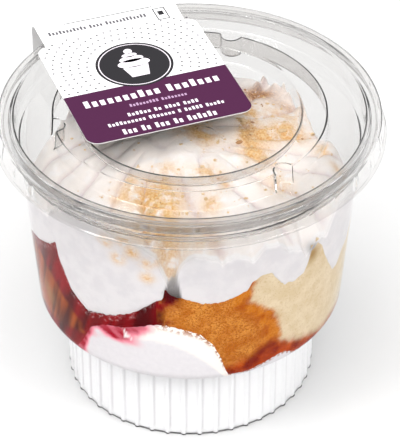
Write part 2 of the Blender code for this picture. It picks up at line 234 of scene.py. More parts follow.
def apply_modifiers(piece):
    activate(piece)
    for modifier in list(piece.modifiers):
        bpy.ops.object.modifier_apply(modifier=modifier.name)


def settle(piece, name, material, smooth_angle=40.0):
    """Name a finished piece, put its place in its mesh and give it its material and shading."""
    activate(piece)
    bpy.ops.object.transform_apply(location=True, rotation=True, scale=True)
    piece.name = name
    piece.data.name = name
    piece.data.materials.clear()
    piece.data.materials.append(material)
    bpy.ops.object.shade_smooth_by_angle(angle=math.radians(smooth_angle))
    return piece


def weld_and_turn_out(piece, threshold=0.002):
    """Merge the doubles of a bent grid and point its faces outwards."""
    activate(piece)
    bpy.ops.object.mode_set(mode="EDIT")
    bpy.ops.mesh.select_all(action="SELECT")
    bpy.ops.mesh.remove_doubles(threshold=threshold * UNIT)
    bpy.ops.mesh.normals_make_consistent(inside=False)
    bpy.ops.object.mode_set(mode="OBJECT")


def bent_grid(columns, rows, place):
    """A grid wrapped about the axis. place(angle, row) gives each point's radius and height."""
    deselect_all()
    bpy.ops.mesh.primitive_grid_add(x_subdivisions=columns, y_subdivisions=rows, size=2)
    piece = bpy.context.object
    for vertex in piece.data.vertices:
        angle = 180.0 * vertex.co.x if vertex.co.x < 0.9999 else -180.0
        row = round((vertex.co.y + 1.0) / 2 * rows)
        radius, height = place(angle, row)
        turn = math.radians(angle)
        x, y = (radius * math.cos(turn), radius * math.sin(turn)) if radius > 1e-6 else (0.0, 0.0)
        vertex.co = (x * UNIT, y * UNIT, height * UNIT)
    weld_and_turn_out(piece)
    return piece


def rounded(corners, steps=5):
    """Points along an (r, z, fillet) outline with each corner rounded to its fillet."""
    points = [corners[0][:2]]
    for before, corner, after in zip(corners, corners[1:], corners[2:]):
        here = Vector(corner[:2])
        back = Vector(before[:2]) - here
        ahead = Vector(after[:2]) - here
        fillet = min(corner[2], back.length * 0.48, ahead.length * 0.48)
        if fillet <= 0:
            points.append(tuple(here))
            continue
        start = here + back.normalized() * fillet
        end = here + ahead.normalized() * fillet
        for step in range(steps + 1):
            share = step / steps
            point = start * (1 - share) ** 2 + here * 2 * share * (1 - share) + end * share**2
            points.append(tuple(point))
    points.append(corners[-1][:2])
    return points


def paint(piece, **shades):
    """Store the value of each shade(x, y, z) under its name at each point of a piece."""
    for name, shade in shades.items():
        layer = piece.data.attributes.new(name, "FLOAT", "POINT")
        for vertex, value in zip(piece.data.vertices, layer.data):
            value.value = shade(*(vertex.co / UNIT))


def across_wall(x, y, z):
    """How far a point lies along the wall, in millimetres."""
    return math.atan2(y, x) * WALL_FOOT_RADIUS


def up_wall(x, y, z):
    return z


def inside(corners, x, y, soft):
    """1 well inside an outline and 0 well outside it, over soft mm."""
    nearest = 1e9
    within = False
    for (ax, ay), (bx, by) in zip(corners, corners[1:] + corners[:1]):
        along = ((x - ax) * (bx - ax) + (y - ay) * (by - ay)) / ((bx - ax) ** 2 + (by - ay) ** 2)
        along = min(1.0, max(0.0, along))
        nearest = min(nearest, math.hypot(x - ax - along * (bx - ax), y - ay - along * (by - ay)))
        if (ay > y) != (by > y) and x < (bx - ax) * (y - ay) / (by - ay) + ax:
            within = not within
    return ease(nearest if within else -nearest, -soft, soft)


def show(piece, slot, *nodes):
    """Tie a finished piece to the body and hide the nodes that it stands for. The slot is not used."""
    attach(piece, BODY)
    if nodes:
        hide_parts(*nodes)


# ---------------------------------------------------------------- material tools
COLOUR = {"data_type": "RGBA"}  # setting of a node that mixes colours
SMOOTH = {"interpolation_type": "SMOOTHSTEP"}  # setting of a node that spreads a value along an S
GRAINY = {"Detail": 3.0, "Roughness": 0.55}  # inputs of the usual noise


def fill_in(tree, node, inputs):
    """Give a node's inputs their values. Each is a number, a vector, a hex colour or a socket to link."""
    for name, value in inputs.items():
        if isinstance(value, bpy.types.NodeSocket):
            tree.links.new(value, node.inputs[name])
        else:
            node.inputs[name].default_value = hex_colour(value) if isinstance(value, str) else value


def add(tree, kind, inputs=None, output=0, **settings):
    """Add a shader node with its settings and links, and give back one of its outputs."""
    node = tree.nodes.new(kind)
    for name, value in settings.items():
        setattr(node, name, value)
    fill_in(tree, node, inputs or {})
    return node.outputs[output]


def per_mm(size):
    """The scale of a pattern whose features are about size mm across."""
    return 1.0 / (size * UNIT)


def new_material(name, *painted):
    """A material, its node tree and shader, the place on the object and the painted values by name."""
    material = bpy.data.materials.new(name)
    material.use_nodes = True
    tree = material.node_tree
    place = add(tree, "ShaderNodeTexCoord", output="Object")
    paint_of = {key: add(tree, "ShaderNodeAttribute", output="Fac", attribute_name=key) for key in painted}
    return material, tree, tree.nodes["Principled BSDF"], place, paint_of


def streaks(tree, paint_of, size, length, lean):
    """Noise drawn out along the wall: size by length in mm, leaning this far off upright."""
    flat = add(tree, "ShaderNodeCombineXYZ", {0: paint_of["across"], 1: paint_of["up"]})
    turn = (0.0, 0.0, math.radians(lean))
    turned = add(tree, "ShaderNodeMapping", {"Vector": flat, "Rotation": turn})
    reach = (1.0 / size, 1.0 / length, 1.0)
    drawn = add(tree, "ShaderNodeMapping", {"Vector": turned, "Scale": reach})
    return add(tree, "ShaderNodeTexNoise", {"Vector": drawn, "Scale": 1.0, "Detail": 1.5})


# ---------------------------------------------------------------- materials
CUP_IOR = 1.15
LID_IOR = 1.34


def clear_pet(name, tint, ior):
    """Thermoformed PET sheet: clear and glossy, and greyer where the eye looks through several layers.

    Its IOR is below the 1.57 of real PET, so that no mirrored floor veils the food on the walls.
    """
    material, tree, shader, place, _ = new_material(name)
    handled = add(tree, "ShaderNodeTexNoise", {"Vector": place, "Scale": per_mm(14.0), **GRAINY})
    gloss = add(tree, "ShaderNodeMapRange", {0: handled, 1: 0.3, 2: 0.7, 3: 0.012, 4: 0.03}, **SMOOTH)
    fill_in(tree, shader, {
        "Base Color": tint,
        "Roughness": gloss,
        "IOR": ior,
        "Transmission Weight": 1.0,
    })
    return material


def whipped_icing():
    """Whipped icing: soft white, greyer where pressed on the wall (partly painted shade), with painted
    shade in its creases and between its lobes, dusted with wet cake crumb.
    """
    painted = ("press", "crease", "hollow", "dusting", "toast")
    material, tree, shader, place, paint_of = new_material("whipped_icing", *painted)
    fine, coarse, patchy, toasted = (
        add(tree, "ShaderNodeTexNoise", {"Vector": place, "Scale": per_mm(size), **GRAINY})
        for size in (0.5, 5.0, 2.6, 1.1)
    )
    white = add(tree, "ShaderNodeMix", {0: coarse, 6: "#FFFCFB", 7: "#F9F4F3"}, 2, **COLOUR)
    share = add(tree, "ShaderNodeMapRange", {0: coarse, 1: 0.35, 2: 0.65}, **SMOOTH)
    pressed = add(tree, "ShaderNodeMix", {0: share, 6: "#DEDADC", 7: "#E6E2E3"}, 2, **COLOUR)
    body = white
    # The pressed face on the wall is greyer, partly its own tone and partly painted shade; the crease and
    # hollow colours are painted shade.
    for name, colour in (("press", pressed), ("crease", "#E2D8DC"), ("hollow", "#544E4C")):
        body = add(tree, "ShaderNodeMix", {0: paint_of[name], 6: body, 7: colour}, 2, **COLOUR)
    crumbs = (
        ("dusting", patchy, 0.24, 0.55, "#DCA254", "#F2D09A"),
        ("toast", toasted, 0.25, 0.45, "#8A5220", "#CF9450"),
    )
    for name, pattern, low, high, dark, light in crumbs:
        share = add(tree, "ShaderNodeMapRange", {0: fine, 1: 0.35, 2: 0.65}, **SMOOTH)
        crumb = add(tree, "ShaderNodeMix", {0: share, 6: dark, 7: light}, 2, **COLOUR)
        patches = add(tree, "ShaderNodeMapRange", {0: pattern, 1: low, 2: high}, **SMOOTH)
        share = add(tree, "ShaderNodeMath", {0: paint_of[name], 1: patches}, operation="MULTIPLY")
        body = add(tree, "ShaderNodeMix", {0: share, 6: body, 7: crumb}, 2, **COLOUR)
    fill_in(tree, shader, {
        "Base Color": body,
        "Roughness": 0.5,
        "Specular IOR Level": 0.1,
        "Subsurface Weight": 0.15,
        "Subsurface Radius": (1.0, 0.9, 0.85),
        "Subsurface Scale": 1.0 * UNIT,
        "Normal": add(tree, "ShaderNodeBump", {"Height": fine, "Strength": 1.0, "Distance": 0.08 * UNIT}),
    })
    return material


def foot_icing_material():
    """The same icing pressed smooth in the foot, blushed where syrup has run over it, with painted shade
    beside each rib and a painted shadow under the shoulder.
    """
    painted = ("shoulder", "fresh", "groove", "blush", "crumbs", "fleck", "drip", "across", "up")
    material, tree, shader, place, paint_of = new_material("pressed_icing", *painted)
    fine = add(tree, "ShaderNodeTexNoise", {"Vector": place, "Scale": per_mm(1.2), **GRAINY})
    in_foot = add(tree, "ShaderNodeMix", {0: fine, 6: "#FFFFFF", 7: "#F9F8FA"}, 2, **COLOUR)
    on_wall = add(tree, "ShaderNodeMix", {0: fine, 6: "#ECE8EA", 7: "#E0DCDF"}, 2, **COLOUR)
    wisps = streaks(tree, paint_of, 3.0, 10.0, -58.0)
    spread = add(tree, "ShaderNodeMapRange", {0: wisps, 1: 0.25, 2: 0.75, 3: 0.75, 4: 1.2}, **SMOOTH)
    ragged = add(tree, "ShaderNodeMath", {0: paint_of["blush"], 1: spread}, operation="MULTIPLY")
    share = add(tree, "ShaderNodeMapRange", {0: ragged, 1: 0.45, 2: 1.0}, **SMOOTH)
    pink = add(tree, "ShaderNodeMix", {0: share, 6: "#F08C9E", 7: "#A81028"}, 2, **COLOUR)
    blush = add(tree, "ShaderNodeMapRange", {0: ragged, 1: 0.02, 2: 0.6}, **SMOOTH)
    noise_inputs = {"Vector": place, "Scale": per_mm(1.0), "Detail": 4.0, "Roughness": 0.55}
    specks = add(tree, "ShaderNodeTexNoise", noise_inputs)
    bits = add(tree, "ShaderNodeMapRange", {0: specks, 1: 0.47, 2: 0.53}, **SMOOTH)
    crumbs = add(tree, "ShaderNodeMath", {0: paint_of["crumbs"], 1: bits}, operation="MULTIPLY")
    layers = (
        (paint_of["shoulder"], on_wall),
        (paint_of["fresh"], "#FFF8F2"),
        # Painted shade beside the ribs and under the shoulder.
        (paint_of["groove"], "#B4AFB2"),
        (blush, pink),
        (paint_of["fleck"], "#FFF4F4"),
        (paint_of["drip"], "#5E1A10"),
        (crumbs, "#A5601E"),
    )
    body = in_foot
    for share, colour in layers:
        body = add(tree, "ShaderNodeMix", {0: share, 6: body, 7: colour}, 2, **COLOUR)
    fill_in(tree, shader, {"Base Color": body, "Roughness": 0.5, "Specular IOR Level": 0.0})
    return material


def sponge():
    """Yellow sponge cake: golden skin, pale crumb, syrup drawn up from below. Its pores are 0.4 to 1 mm."""
    painted = ("rust", "pale", "soak", "jam", "hollow")
    material, tree, shader, place, paint_of = new_material("sponge_cake", *painted)
    noise_inputs = {"Vector": place, "Scale": per_mm(0.55), "Detail": 3.0, "Roughness": 0.7}
    pores = add(tree, "ShaderNodeTexNoise", noise_inputs)
    noise_inputs = {"Vector": place, "Scale": per_mm(4.0), "Detail": 4.0, "Roughness": 0.55}
    patches = add(tree, "ShaderNodeTexNoise", noise_inputs)
    looks = {  # each part's patches, from low to high, and its two colours
        "gold": (0.25, 0.75, "#B86418", "#E29A44"),
        "crumb": (0.3, 0.7, "#DCC6A0", "#E8D6B8"),
        "rust": (0.4, 0.6, "#A84800", "#CC7410"),
        "soak": (0.35, 0.7, "#7A1400", "#C24A08"),
        "jam": (0.35, 0.7, "#4A0004", "#8A0A12"),
    }
    look_of = {}
    for name, (low, high, dark, light) in looks.items():
        share = add(tree, "ShaderNodeMapRange", {0: patches, 1: low, 2: high}, **SMOOTH)
        look_of[name] = add(tree, "ShaderNodeMix", {0: share, 6: dark, 7: light}, 2, **COLOUR)
    for name, low, high, dark in (("gold", 0.34, 0.58, "#A85812"), ("crumb", 0.28, 0.5, "#D0B690")):
        share = add(tree, "ShaderNodeMapRange", {0: pores, 1: low, 2: high}, **SMOOTH)
        look_of[name] = add(tree, "ShaderNodeMix", {0: share, 6: dark, 7: look_of[name]}, 2, **COLOUR)
    layers = (
        ("rust", look_of["rust"]),
        ("pale", look_of["crumb"]),
        ("soak", look_of["soak"]),
        ("jam", look_of["jam"]),
        # Painted shadow in the hollow under the icing's lobes.
        ("hollow", "#A8844E"),
    )
    body = look_of["gold"]
    for name, colour in layers:
        body = add(tree, "ShaderNodeMix", {0: paint_of[name], 6: body, 7: colour}, 2, **COLOUR)
    fill_in(tree, shader, {
        "Base Color": body,
        "Roughness": 0.75,
        "Specular IOR Level": 0.0,
        "Normal": add(tree, "ShaderNodeBump", {"Height": pores, "Strength": 1.0, "Distance": 0.2 * UNIT}),
    })
    return material


def strawberry_gel():
    """Strawberry filling: deep red jam drawn into streaks, with syrup-soaked cake in it on the left."""
    painted = ("haze", "beige", "soaked_cake", "frost", "across", "up")
    material, tree, shader, place, paint_of = new_material("strawberry_gel", *painted)
    swirl = streaks(tree, paint_of, 3.4, 22.0, 24.0)
    share = add(tree, "ShaderNodeMapRange", {0: swirl, 1: 0.35, 2: 0.65}, **SMOOTH)
    red = add(tree, "ShaderNodeMix", {0: share, 6: "#480002", 7: "#900610"}, 2, **COLOUR)
    red = add(tree, "ShaderNodeMix", {0: paint_of["haze"], 6: red, 7: "#7A3230"}, 2, **COLOUR)
    grain_of_cake = streaks(tree, paint_of, 3.0, 26.0, 22.0)
    share = add(tree, "ShaderNodeMapRange", {0: grain_of_cake, 1: 0.3, 2: 0.62}, **SMOOTH)
    cake = add(tree, "ShaderNodeMix", {0: share, 6: "#4E0E00", 7: "#A84C10"}, 2, **COLOUR)
    cake = add(tree, "ShaderNodeMix", {0: paint_of["beige"], 6: cake, 7: "#9C7040"}, 2, **COLOUR)
    noise_inputs = {"Vector": place, "Scale": per_mm(0.9), "Detail": 5.0, "Roughness": 0.85}
    specks = add(tree, "ShaderNodeTexNoise", noise_inputs)
    flecks = add(tree, "ShaderNodeMapRange", {0: specks, 1: 0.52, 2: 0.66}, **SMOOTH)
    frost = add(tree, "ShaderNodeMath", {0: paint_of["frost"], 1: flecks}, operation="MULTIPLY")
    body = red
    for share, colour in ((paint_of["soaked_cake"], cake), (frost, "#E2C6C8")):
        body = add(tree, "ShaderNodeMix", {0: share, 6: body, 7: colour}, 2, **COLOUR)
    fill_in(tree, shader, {
        "Base Color": body,
        "Roughness": 0.4,
        "Specular IOR Level": 0.0,
        "Subsurface Weight": 0.08,
        "Subsurface Radius": (1.0, 0.1, 0.1),
        "Subsurface Scale": 0.8 * UNIT,
    })
    return material


def plain(name, colour, roughness, size=0.8, spread=0.06):
    """A matt surface whose colour wanders a little over size mm."""
    material, tree, shader, place, _ = new_material(name)
    dark = [c * (1 - spread) for c in hex_colour(colour)[:3]] + [1.0]
    wander = add(tree, "ShaderNodeTexNoise", {"Vector": place, "Scale": per_mm(size), **GRAINY})
    mixed = add(tree, "ShaderNodeMix", {0: wander, 6: colour, 7: dark}, 2, **COLOUR)
    fill_in(tree, shader, {"Base Color": mixed, "Roughness": roughness, "Specular IOR Level": 0.2})
    return material


# ---------------------------------------------------------------- camera, lights and floor
ROOM_GLOW = 0.44
HIGH_GLOW = 0.5
FRONT_GLOW = 0.6
OVERHEAD_GLOW = 2.7
GLOW_DIRECTION = (-0.12, -0.16, 0.98)
FLOOR_WIDTH = 6.0
FLOOR_DROP = 0.0001
CAMERA_AIM = Vector((2.6, 0.0, 46.5)) * UNIT
CAMERA_DISTANCE = 651.0 * UNIT
CAMERA_TILT = math.radians(38.36)
CAMERA_LENS = 198.25
SENSOR = 36.0


def make_camera():
    data = bpy.data.cameras.new("camera")
    data.lens = CAMERA_LENS
    data.sensor_width = SENSOR
    camera = bpy.data.objects.new("camera", data)
    bpy.context.scene.collection.objects.link(camera)
    back = Vector((0.0, -math.cos(CAMERA_TILT), math.sin(CAMERA_TILT)))
    camera.location = CAMERA_AIM + back * CAMERA_DISTANCE
    camera.rotation_euler = (math.pi / 2 - CAMERA_TILT, 0.0, 0.0)
    bpy.context.scene.camera = camera


def make_light(name, place, size, power):
    """A square softbox at place (m), turned to the cup."""
    data = bpy.data.lights.new(name, "AREA")
    data.shape = "SQUARE"
    data.size = size
    data.energy = power
    light = bpy.data.objects.new(name, data)
    bpy.context.scene.collection.objects.link(light)
    light.location = place
    aim = Vector((0.0, 0.0, 0.05)) - Vector(place)
    light.rotation_euler = aim.to_track_quat("-Z", "Y").to_euler()


def make_studio():
    """A pale room, brighter overhead and in front of the cup, with two softboxes."""
    world = bpy.data.worlds.new("studio")
    bpy.context.scene.world = world
    world.use_nodes = True
    tree = world.node_tree
    ray = add(tree, "ShaderNodeTexCoord", output="Generated")
    up = add(tree, "ShaderNodeSeparateXYZ", {0: ray}, "Z")
    back = add(tree, "ShaderNodeSeparateXYZ", {0: ray}, "Y")
    inputs = {0: ray, 1: GLOW_DIRECTION}
    above = add(tree, "ShaderNodeVectorMath", inputs, "Value", operation="DOT_PRODUCT")
    glows = (  # a part of the ray's direction, where its glow starts and is full, and its strength
        (up, 0.1, 0.6, HIGH_GLOW),
        (back, 0.0, -0.75, FRONT_GLOW),
        (above, 0.76, 0.97, OVERHEAD_GLOW),
    )
    sky = ROOM_GLOW
    for value, low, high, strength in glows:
        share = add(tree, "ShaderNodeMapRange", {0: value, 1: low, 2: high}, **SMOOTH)
        sky = add(tree, "ShaderNodeMath", {0: share, 1: strength, 2: sky}, operation="MULTIPLY_ADD")
    fill_in(tree, tree.nodes["Background"], {"Color": "#FFFFFF", "Strength": sky})
    make_light("key_softbox", (-0.62, -0.4, 0.8), 0.36, 4.2)
    make_light("fill_softbox", (0.62, -0.45, 0.6), 0.36, 3.3)
    bpy.context.scene.view_settings.view_transform = "Standard"


def make_floor():
    deselect_all()
    bpy.ops.mesh.primitive_plane_add(size=FLOOR_WIDTH, location=(0.0, 0.0, -FLOOR_DROP))
    floor = bpy.context.object
    floor.name = "floor"
    material, tree, shader, _, _ = new_material("pale_floor")
    fill_in(tree, shader, {"Base Color": "#C8C8C8", "Roughness": 0.8})
    floor.data.materials.append(material)


# ---------------------------------------------------------------- cup
def turned_sheet(corners, columns, thickness, shift, faces_down):
    """A sheet turned about the axis from its outer face, where shift(angle, r, z) moves each point."""
    outline = rounded(corners)
    piece = bent_grid(columns, len(outline) - 1, lambda angle, row: shift(angle, *outline[row]))
    middle = min(piece.data.polygons, key=lambda face: face.center.xy.length)
    if (middle.normal.z < 0.0) != faces_down:
        activate(piece)
        bpy.ops.object.mode_set(mode="EDIT")
        bpy.ops.mesh.select_all(action="SELECT")
        bpy.ops.mesh.flip_normals()
        bpy.ops.object.mode_set(mode="OBJECT")
    sheet = piece.modifiers.new("sheet", "SOLIDIFY")
    sheet.thickness = thickness * UNIT
    sheet.offset = -1.0
    sheet.use_even_offset = True
    apply_modifiers(piece)
    return piece


def make_cup():
    flange = CUP_HEIGHT - SHEET
    corners = (
        (0.0, 0.0, 0.0),
        (20.0, 0.0, 0.0),
        (FOOT_RADIUS, 0.0, 1.1),
        (FOOT_RADIUS, 1.6, 0.0),
        (FOOT_RADIUS, 6.0, 0.0),
        (FOOT_RADIUS, 14.0, 0.0),
        (FOOT_RADIUS, RIB_TOP - 1.6, 0.0),
        (FOOT_RADIUS, FOOT_HEIGHT, 0.9),
        (wall_radius(FOOT_HEIGHT), FOOT_HEIGHT, SHOULDER_FILLET),
        (wall_radius(40.0), 40.0, 0.0),
        (wall_radius(55.0), 55.0, 0.0),
        (wall_radius(76.7), 76.7, 0.7),
        (46.55, 76.8, 0.8),
        (46.65, flange, 0.5),
        (47.85, flange, 0.5),
        (47.85, 81.2, 0.0),
    )

    def shift(angle, r, z):
        return r + (rib_rise(angle, z) if r > FOOT_RADIUS - 0.9 and z < RIB_TOP else 0.0), z

    cup = turned_sheet(corners, 12 * RIBS, SHEET, shift, faces_down=True)
    settle(cup, "cup_shell", clear_pet("clear_cup_pet", "#F0F0F0", CUP_IOR))
    show(cup, "cup_plastic", "cup")


# ---------------------------------------------------------------- lid
def notch_depth(angle, radius):
    """How far the raised ring's wall steps in at a half-round notch."""
    for middle in NOTCHES:
        turn = apart(angle, middle)
        if abs(turn) < 20.0:
            off = radius * math.sin(math.radians(turn))
            if abs(off) < NOTCH_RADIUS:
                return math.sqrt(NOTCH_RADIUS**2 - off * off)
    return 0.0


def dart_depth(angle, z):
    """Small V-shaped pleats pressed into the skirt, closed again above its smooth lower edge."""
    off = abs(off_nearest(angle, DARTS, FIRST_DART))
    half_width = 0.2 + 1.1 * (1.0 - ease(z, 79.0, 82.6))
    across = math.radians(off) * 50.0 / half_width
    if across >= 1.0:
        return 0.0
    return 0.42 * (1.0 - across) * (1.0 - ease(z, 81.0, 83.0)) * ease(z, 78.5, 79.4)


EMBOSS_MIDDLE = (3.6, -9.3)
EMBOSS_REACH = 6.2
DASH_ROWS = (-17.6, -20.0, -22.4)


def emboss_rise(x, y):
    """A rounded triangle raised on the recess floor, with rows of short dashes in front of it."""
    x -= EMBOSS_MIDDLE[0]
    y -= EMBOSS_MIDDLE[1]
    thrice = 3.0 * angle_at(x, y)
    outline = math.hypot(x, y) - EMBOSS_REACH * (0.86 + 0.14 * math.cos(math.radians(thrice + 90.0)))
    arrows = 0.35 + 0.65 * (abs(apart(thrice, 30.0)) > 26.0)
    rise = 0.12 * arrows * max(0.0, 1.0 - (outline / 0.7) ** 2)
    inner = math.hypot(x, y) - 2.1
    rise = max(rise, 0.08 * max(0.0, 1.0 - (inner / 0.7) ** 2))
    for row in DASH_ROWS:
        off = abs(y + EMBOSS_MIDDLE[1] - row)
        if off < 0.45 and abs(x) < 4.6 and (x + 4.6) % 2.4 < 1.6:
            rise = max(rise, 0.07 * (1.0 - (off / 0.45) ** 2))
    return rise


def make_lid():
    floor_rows = tuple((0.45 * step, RECESS_FLOOR, 0.0) for step in range(57))
    corners = floor_rows + (
        (28.1, RECESS_FLOOR, 1.1),
        (28.8, LID_TOP, 0.9),
        (32.0, LID_TOP, 0.0),
        (35.45, LID_TOP, 0.6),
        (RING_WALL_RADIUS, PANEL_TOP, 0.8),
        (40.0, PANEL_TOP, 0.0),
        (44.85, PANEL_TOP, 0.8),
        (45.25, LID_TOP - 0.3, 0.7),
        (46.6, LID_TOP, 0.7),
        (49.2, LID_TOP - 0.05, 0.9),
        (49.75, 81.4, 0.0),
        (49.95, 80.2, 0.0),
        (50.1, 79.3, 0.0),
        (50.2, 78.7, 0.0),
        (50.25, 78.35, 0.3),
        (50.72, 78.0, 0.0),
    )

    def shift(angle, r, z):
        if r < 25.5:
            turn = math.radians(angle)
            z += emboss_rise(r * math.cos(turn), r * math.sin(turn))
        if 34.6 < r < 36.9 and z > PANEL_TOP - 0.01:
            r -= notch_depth(angle, r)
        if r > 49.3 and z < 82.6:
            r -= dart_depth(angle, z)
        return r, z

    lid = turned_sheet(corners, 396, LID_SHEET, shift, faces_down=False)
    settle(lid, "lid_shell", clear_pet("clear_lid_pet", "#F0EFEE", LID_IOR))
    show(lid, "lid_plastic", "lid")


# ---------------------------------------------------------------- food
COLUMNS = 600


def icing_edge(angle):
    """Lower edge of the piped icing on the wall."""
    wobble = 0.45 * waver(angle, 0.55, (3.1, 0.0)) + 0.3 * waver(angle, 1.9, (0.0, 7.7))
    return between(ICING_EDGE, angle) + wobble * ease(180.0 - abs(angle), 0.0, 6.0)


def press_edge(angle):
    return between(PRESS_EDGE, angle) + 0.7 * waver(angle, 0.5, (9.0, 0.0))


def folds(x, y):
    """Piped folds round the heap: 1 on their rounded backs, 0 in the sharp creases between them."""
    radius = math.hypot(x, y)
    lean = angle_at(x, y) + 34.0 * (1.0 - radius / 44.0)
    lean += 7.0 * math.sin(math.radians(3.0 * lean + 40.0)) + 2.0 * math.sin(math.radians(7.0 * lean))
    outer = abs(math.sin(math.radians(9.5 * lean))) ** 0.5
    wander = 150.0 * grain(x, y, 0.0, 14.0, 5.0)
    inner = abs(math.sin(math.radians(7.0 * radius + 2.0 * lean + wander))) ** 0.5
    share = ease(radius, 12.0, 22.0)
    return inner * (1.0 - share) + outer * share


# Curled tips on top of the icing: middle, reach and rise.
CURLS = (
    (19.6, 22.6, 1.0, 4.2), (18.0, 20.4, 1.3, 2.8), (25.0, 19.0, 0.9, 3.4), (26.4, 16.6, 1.0, 2.8),
    (22.6, 20.6, 1.5, 2.2), (-8.0, 24.0, 2.4, 2.2), (30.5, 12.0, 1.6, 2.2),
)


def mound_height(x, y):
    """Top of the piped icing: a broad heap that falls away at the back, folded, lumpy and curled."""
    radius = math.hypot(x, y)
    z = 77.4 - 5.6 * (max(0.0, radius - 12.0) / 30.0) ** 1.6
    z -= 1.3 * max(0.0, y - between(CREST, x, turns=False))
    z += 2.0 * (folds(x, y) - 0.85) * ease(radius, 3.0, 16.0)
    z += 0.9 * grain(x, y, 0.0, 8.0, 4.0) + 0.25 * grain(x, y, 0.0, 2.5, 9.0)
    for cx, cy, reach, rise in CURLS:
        z += rise * spot(x, y, cx, cy, reach, reach)
    return max(z, 53.0 + 0.5 * grain(x, y, 0.0, 4.0))


def lid_underside(radius):
    """Highest that the icing may reach under the lid's sheet."""
    in_ring = 3.6 * ease(radius, 28.6, 30.0) * (1.0 - ease(radius, 33.6, 34.6))
    under_panel = 1.6 * ease(radius, 34.6, 35.6)
    return RECESS_FLOOR - 0.8 + in_ring - under_panel


# Wet crumb and browned crumb on top of the icing: middle, reach in x and y, and strength.
STAINS = (
    (3.9, -18.5, 3.5, 3.0, 0.8), (5.4, -29.0, 2.5, 3.0, 0.8), (-6.2, -28.0, 4.5, 5.0, 0.9),
    (8.2, -21.0, 2.5, 2.5, 0.6), (0.5, 0.0, 5.0, 4.0, 0.7), (4.1, -4.0, 4.0, 3.0, 0.7),
    (22.3, -21.0, 4.0, 4.0, 0.45), (16.7, -10.0, 4.5, 5.0, 0.9), (-15.6, -21.0, 2.0, 2.0, 0.5),
    (-10.0, -26.0, 6.0, 6.0, 0.9), (-17.5, -25.5, 3.0, 2.5, 0.5), (-5.5, -17.0, 3.0, 3.0, 0.5),
    (15.1, 3.0, 2.0, 8.0, 1.8), (21.0, -2.0, 7.0, 3.0, 1.3), (26.0, 0.5, 4.0, 3.0, 0.8),
    (34.0, -5.0, 1.8, 2.2, 0.9), (38.5, -10.0, 2.5, 1.5, 0.6), (-8.0, -36.0, 7.0, 4.0, 0.9),
    (2.0, -38.0, 5.0, 3.0, 0.6), (24.0, 8.0, 6.0, 5.0, 0.6), (-6.0, -41.5, 4.0, 3.0, 0.4),
)
TOAST = ((18.0, 17.0, 4.8, 3.0, 1.2), (15.0, -1.0, 1.6, 5.0, 0.5), (25.0, 13.0, 3.0, 1.6, 0.6))
# The gap between the two lobes at the front, darkened with painted shade, and crumb on the wall: angle,
# height and strength.
LOBE_GAP = ((-98.9, 57.6), (-97.2, 60.6), (-94.4, 64.6), (-93.4, 60.0), (-92.4, 54.4), (-96.0, 55.0))
WALL_STAINS = (
    (-114.2, 66.4, 0.9), (-104.2, 61.8, 0.8), (-99.6, 67.9, 0.7), (-118.5, 71.2, 0.9),
    (-109.0, 69.5, 0.9), (-104.5, 66.5, 0.7), (-112.0, 73.0, 1.0),
)


def spotted(spots, x, y):
    """Sum of the soft spots at a place, up to 1."""
    return min(1.0, sum(strength * spot(x, y, *place) for *place, strength in spots))


def make_piped_icing():
    under_rows, wall_rows, roof_rows = 5, 22, 64
    rows = under_rows + wall_rows + roof_rows
    edges = {}

    def place(angle, row):
        if angle not in edges:
            edges[angle] = (icing_edge(angle), max(press_edge(angle), icing_edge(angle) + 0.8))
        low, high = edges[angle]
        turn = math.radians(angle)
        if row < under_rows:
            share = row / under_rows
            return share * (skin_radius(low, 0.0) - 2.0), 56.0 + (low + 1.2 - 56.0) * share**3
        if row <= under_rows + wall_rows:
            share = (row - under_rows) / wall_rows
            z = low + (high - low) * share
            lift = 0.9 * (1.0 - ease(share, 0.0, 0.09)) + 0.35 * ease(share, 0.94, 1.0)
            return skin_radius(z, DEPTH["piped"] + lift), z
        share = (row - under_rows - wall_rows) / roof_rows
        outer = skin_radius(high, DEPTH["piped"] + 0.35)
        radius = outer * (1.0 - share**1.25)
        z = mound_height(radius * math.cos(turn), radius * math.sin(turn))
        join = ease(outer - radius, 0.0, 7.0) ** 0.55
        return radius, min(high + (z - high) * join, lid_underside(radius))

    icing = bent_grid(COLUMNS, rows, place)

    # Where the icing lies pressed on the wall: its greyer tone there is partly its own and partly painted
    # shade below the lit tops of the lobes.
    def press(x, y, z):
        edge = press_edge(angle_at(x, y))
        return (1.0 - ease(below_skin(x, y, z), 0.3, 1.4)) * (1.0 - ease(z, edge - 1.0, edge + 0.5))

    # Painted shade in the creases between the piped folds on top of the heap.
    def crease(x, y, z):
        on_top = ease(below_skin(x, y, z), 1.0, 3.0)
        return on_top * (1.0 - ease(folds(x, y), 0.15, 0.6)) * ease(math.hypot(x, y), 6.0, 16.0)

    # Painted shade in the gap between the two front lobes and between two lobes further right.
    def hollow(x, y, z):
        angle = angle_at(x, y)
        if not -101.0 < angle < -38.0 or below_skin(x, y, z) > 5.0:
            return 0.0
        between_lobes = inside(LOBE_GAP, angle, z, 0.45)
        right = 0.6 * spot(angle, z, -44.0, 62.0, 2.4, 1.6)
        return min(1.0, between_lobes * (0.95 - 0.08 * (z - 57.0)) + right)

    def dusting(x, y, z):
        if below_skin(x, y, z) < 1.6:
            spots = [(turn, high, 2.4, 1.7, strength) for turn, high, strength in WALL_STAINS]
            return spotted(spots, angle_at(x, y), z)
        return min(1.0, 0.1 + spotted(STAINS, x, y))

    def toast(x, y, z):
        return spotted(TOAST, x, y)

    paint(icing, press=press, crease=crease, hollow=hollow, dusting=dusting, toast=toast)
    settle(icing, "piped_icing_mound", whipped_icing(), 80.0)
    show(icing, "piped_icing", "piped_icing")


